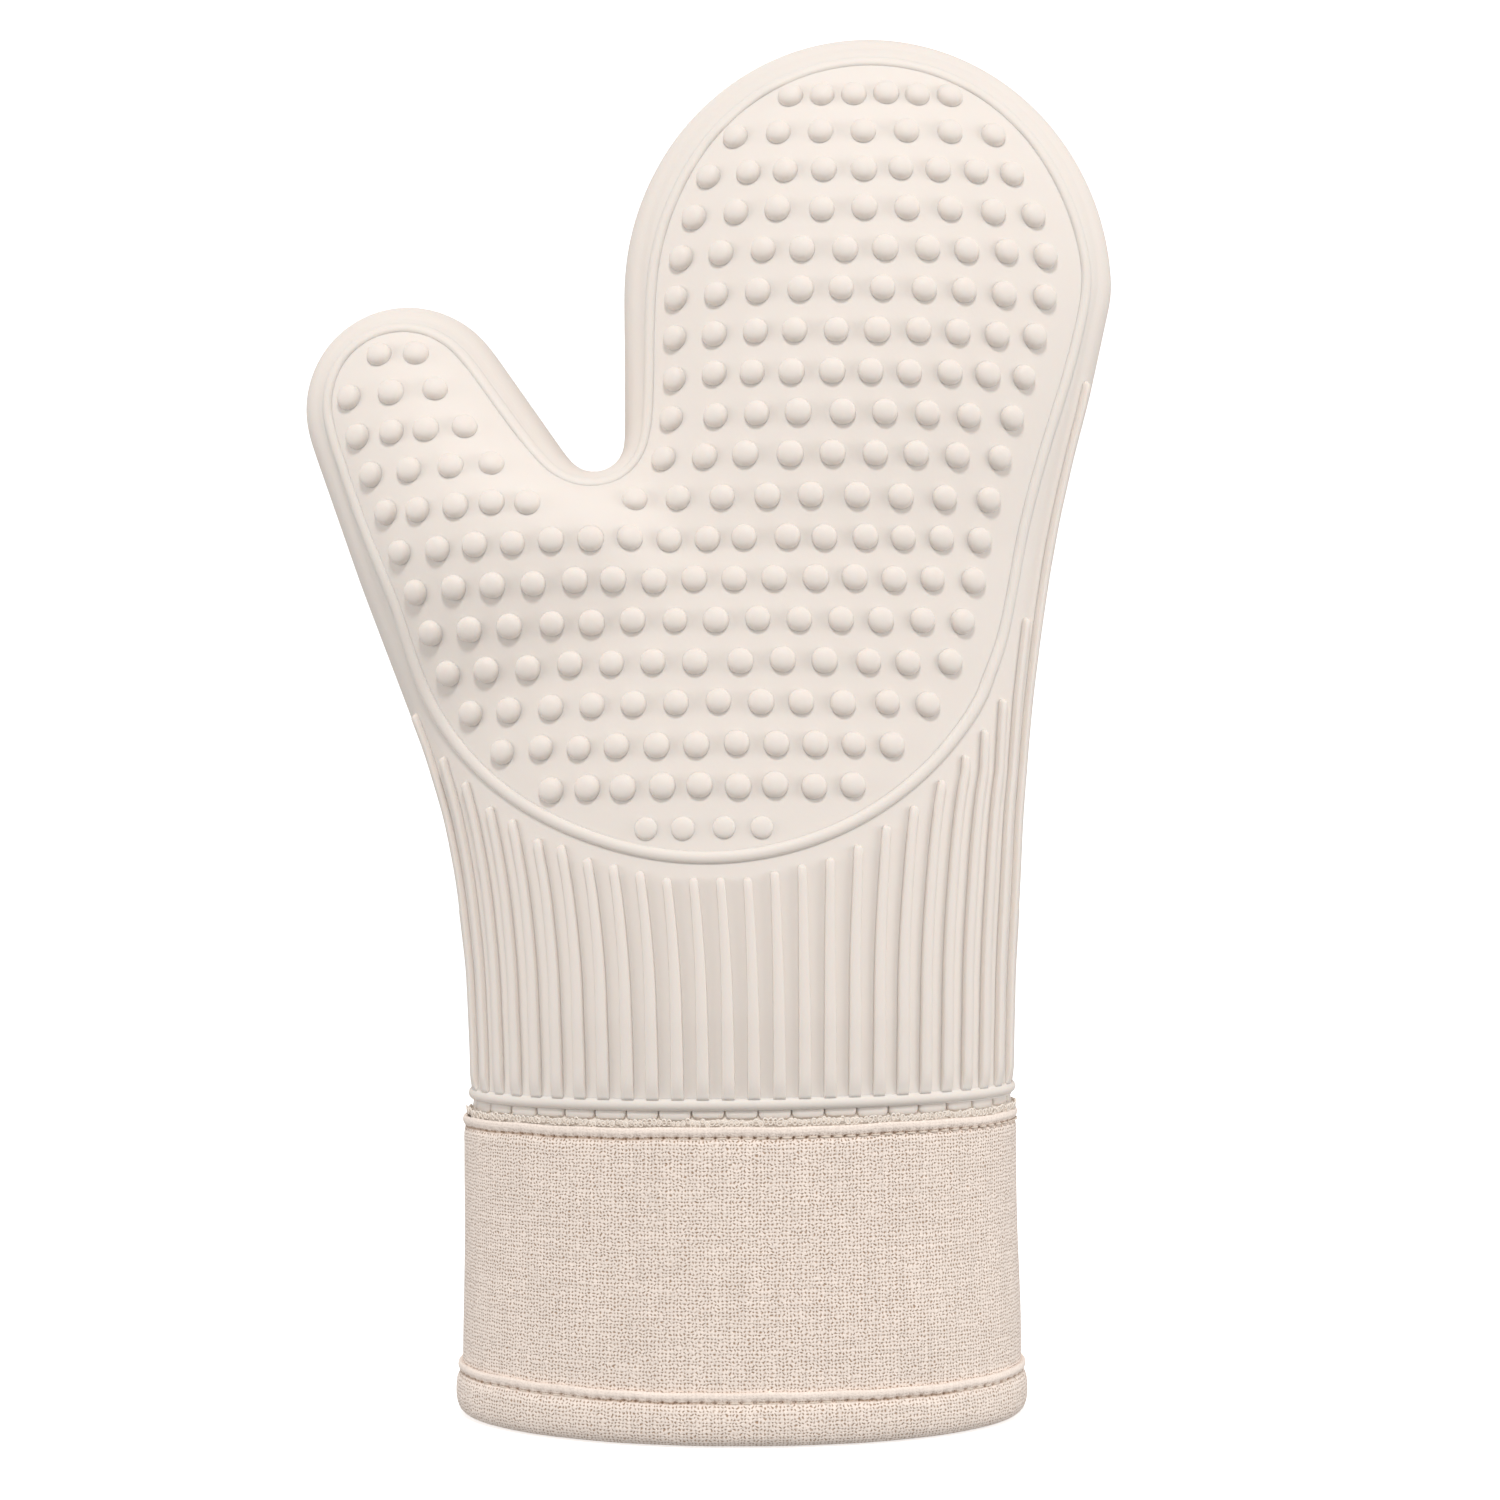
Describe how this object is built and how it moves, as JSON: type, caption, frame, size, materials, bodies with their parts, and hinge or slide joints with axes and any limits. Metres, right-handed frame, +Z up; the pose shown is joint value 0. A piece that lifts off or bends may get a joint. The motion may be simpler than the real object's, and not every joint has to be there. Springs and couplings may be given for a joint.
{
  "type": "oven mitt",
  "caption": "Thumbed oven mitt: dotted and ribbed silicone hand over padded lining, with a woven cuff and a rolled, bound hem.",
  "frame": {"origin": "centre of the cuff opening, on the plane the hem stands on", "axes": "+Z up through the hand towards the fingertips, -Y out of the palm face, -X towards the thumb"},
  "size_m": [0.1953, 0.0796, 0.332],
  "materials": {
    "silicone": "matte cream silicone",
    "wadding": "fluffy needled wadding",
    "lining": "brushed cotton",
    "tape": "overlocked textile edge",
    "cuff_cloth": "plain-woven linen look",
    "binding_cloth": "plain-woven linen look",
    "thread": "matt sewing thread"
  },
  "bodies": {
    "root": {"palm_shell": "silicone", "back_shell": "silicone", "palm_wadding": "wadding", "back_wadding": "wadding", "palm_liner": "lining", "back_liner": "lining", "joining_tape": "tape", "cuff_fabric": "cuff_cloth", "cuff_wadding": "wadding", "cuff_facing": "lining", "hem_binding": "binding_cloth", "cuff_top_stitching": "thread", "hem_stitching": "thread"}
  },
  "joints": []
}
